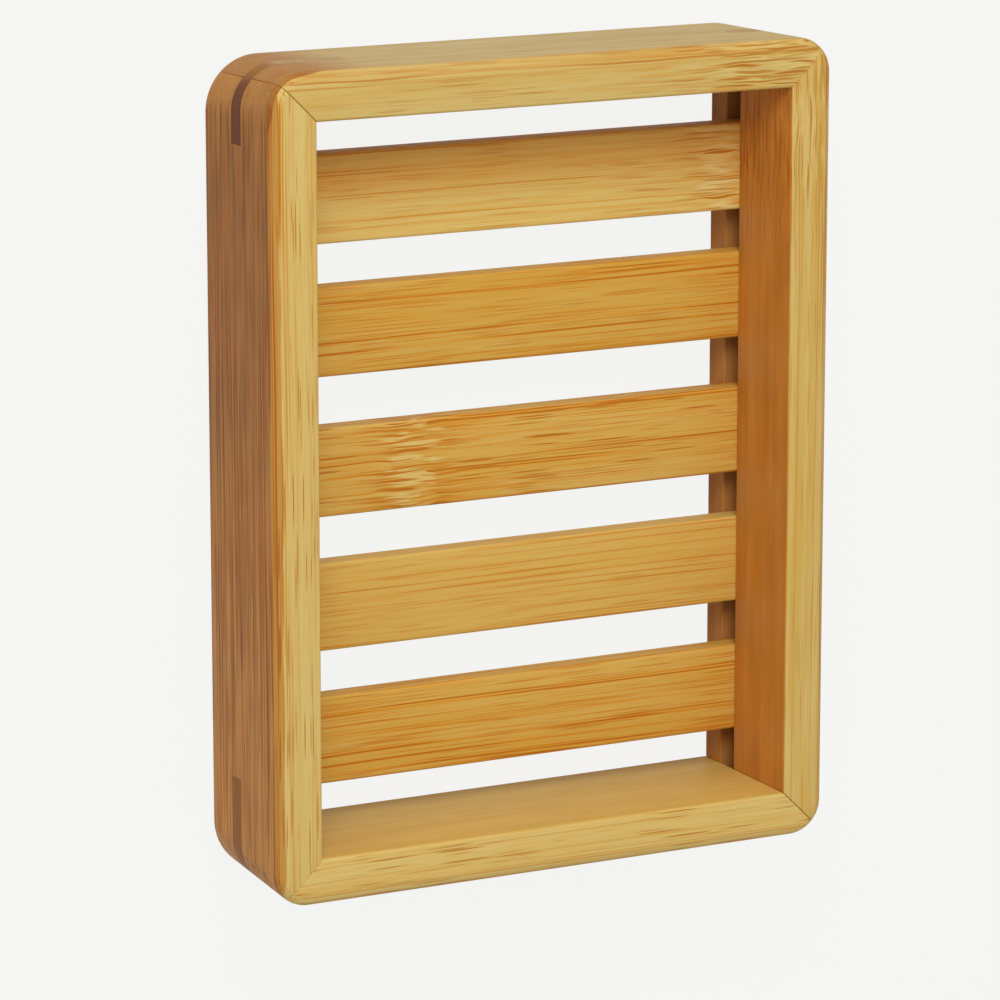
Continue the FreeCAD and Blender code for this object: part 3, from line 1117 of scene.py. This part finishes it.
class SOAPDISH_OT_stage(bpy.types.Operator):
    """Set up the floor, light and camera"""

    bl_idname = "soap_dish.add_stage"
    bl_label = "Add stage"

    def execute(self, context):
        scene = context.scene
        stage = scene.soap_dish.stage
        scene.view_settings.view_transform = "Standard"
        self.add_floor(scene, stage)
        self.add_light(scene, stage)
        self.add_camera(scene, stage)
        return {"FINISHED"}

    def add_floor(self, scene, stage):
        """A wide level square under the dish."""
        mesh = bpy.data.meshes.new("floor")
        ends = []
        for sign_x, sign_y in CORNERS.values():
            ends.append((sign_x * FLOOR_HALF, sign_y * FLOOR_HALF, 0))
        mesh.from_pydata(ends, [], [(0, 1, 2, 3)])
        floor = bpy.data.objects.new("floor", mesh)
        mesh.materials.append(stage_material(stage))
        scene.collection.objects.link(floor)

    def add_light(self, scene, stage):
        """Even light from all round, and one soft lamp."""
        world = bpy.data.worlds.new("surround")
        world.use_nodes = True
        scene.world = world
        bench = NodeBench(world.node_tree)
        sky = world.node_tree.nodes["Background"]
        lit = [stage.sky_strength] * 3
        bench.feed(sky.inputs["Color"], bench.mix(seen_rays(bench), lit, stage.backdrop))
        lamp = bpy.data.lights.new("softbox", "AREA")
        lamp.energy = stage.lamp_power
        lamp.size = stage.lamp_size
        softbox = bpy.data.objects.new("softbox", lamp)
        away = LAMP_WAY.normalized()
        softbox.location = away * LAMP_DISTANCE
        softbox.rotation_mode = "QUATERNION"
        softbox.rotation_quaternion = away.to_track_quat("Z", "Y")
        scene.collection.objects.link(softbox)

    def add_camera(self, scene, stage):
        """The photo's camera, turned so that the dish stands on its short end in the picture."""
        lens = bpy.data.cameras.new("camera")
        lens.lens = stage.camera_lens
        camera = bpy.data.objects.new("camera", lens)
        level = math.cos(stage.camera_rise)
        back = Vector((math.sin(stage.camera_turn) * level, -math.cos(stage.camera_turn) * level,
                       math.sin(stage.camera_rise)))
        right = PICTURE_UP.cross(back).normalized()
        place = CAMERA_AIM + back * stage.camera_distance
        turned = Matrix((right, back.cross(right), back)).transposed()
        camera.matrix_world = Matrix.Translation(place) @ turned.to_4x4()
        scene.collection.objects.link(camera)
        scene.camera = camera


class SOAPDISH_PT_panel(bpy.types.Panel):
    """Soap dish settings and steps"""

    bl_label = "Soap dish"
    bl_idname = "SOAPDISH_PT_panel"
    bl_space_type = "VIEW_3D"
    bl_region_type = "UI"
    bl_category = "Soap dish"

    def draw(self, context):
        dish = context.scene.soap_dish
        for group in (dish.rails, dish.slats, dish.bamboo, dish.stage):
            box = self.layout.box()
            for name in group.__annotations__:
                box.prop(group, name)
        for operator in STEPS:
            self.layout.operator(operator.bl_idname)


STEPS = (SOAPDISH_OT_rails, SOAPDISH_OT_keys, SOAPDISH_OT_slats, SOAPDISH_OT_stage)
CLASSES = (RailSettings, SlatSettings, BambooSettings, StageSettings, DishSettings, *STEPS, SOAPDISH_PT_panel)


def register():
    """Make the settings, steps and panel known."""
    for kind in CLASSES:
        bpy.utils.register_class(kind)
    bpy.types.Scene.soap_dish = bpy.props.PointerProperty(type=DishSettings)


def unregister():
    """Take them away again."""
    del bpy.types.Scene.soap_dish
    for kind in reversed(CLASSES):
        bpy.utils.unregister_class(kind)


def main():
    """Build the dish and its stage."""
    register()
    bpy.ops.soap_dish.add_rails()
    bpy.ops.soap_dish.add_keys()
    bpy.ops.soap_dish.add_slats()
    bpy.ops.soap_dish.add_stage()


if __name__ == "__main__":
    main()
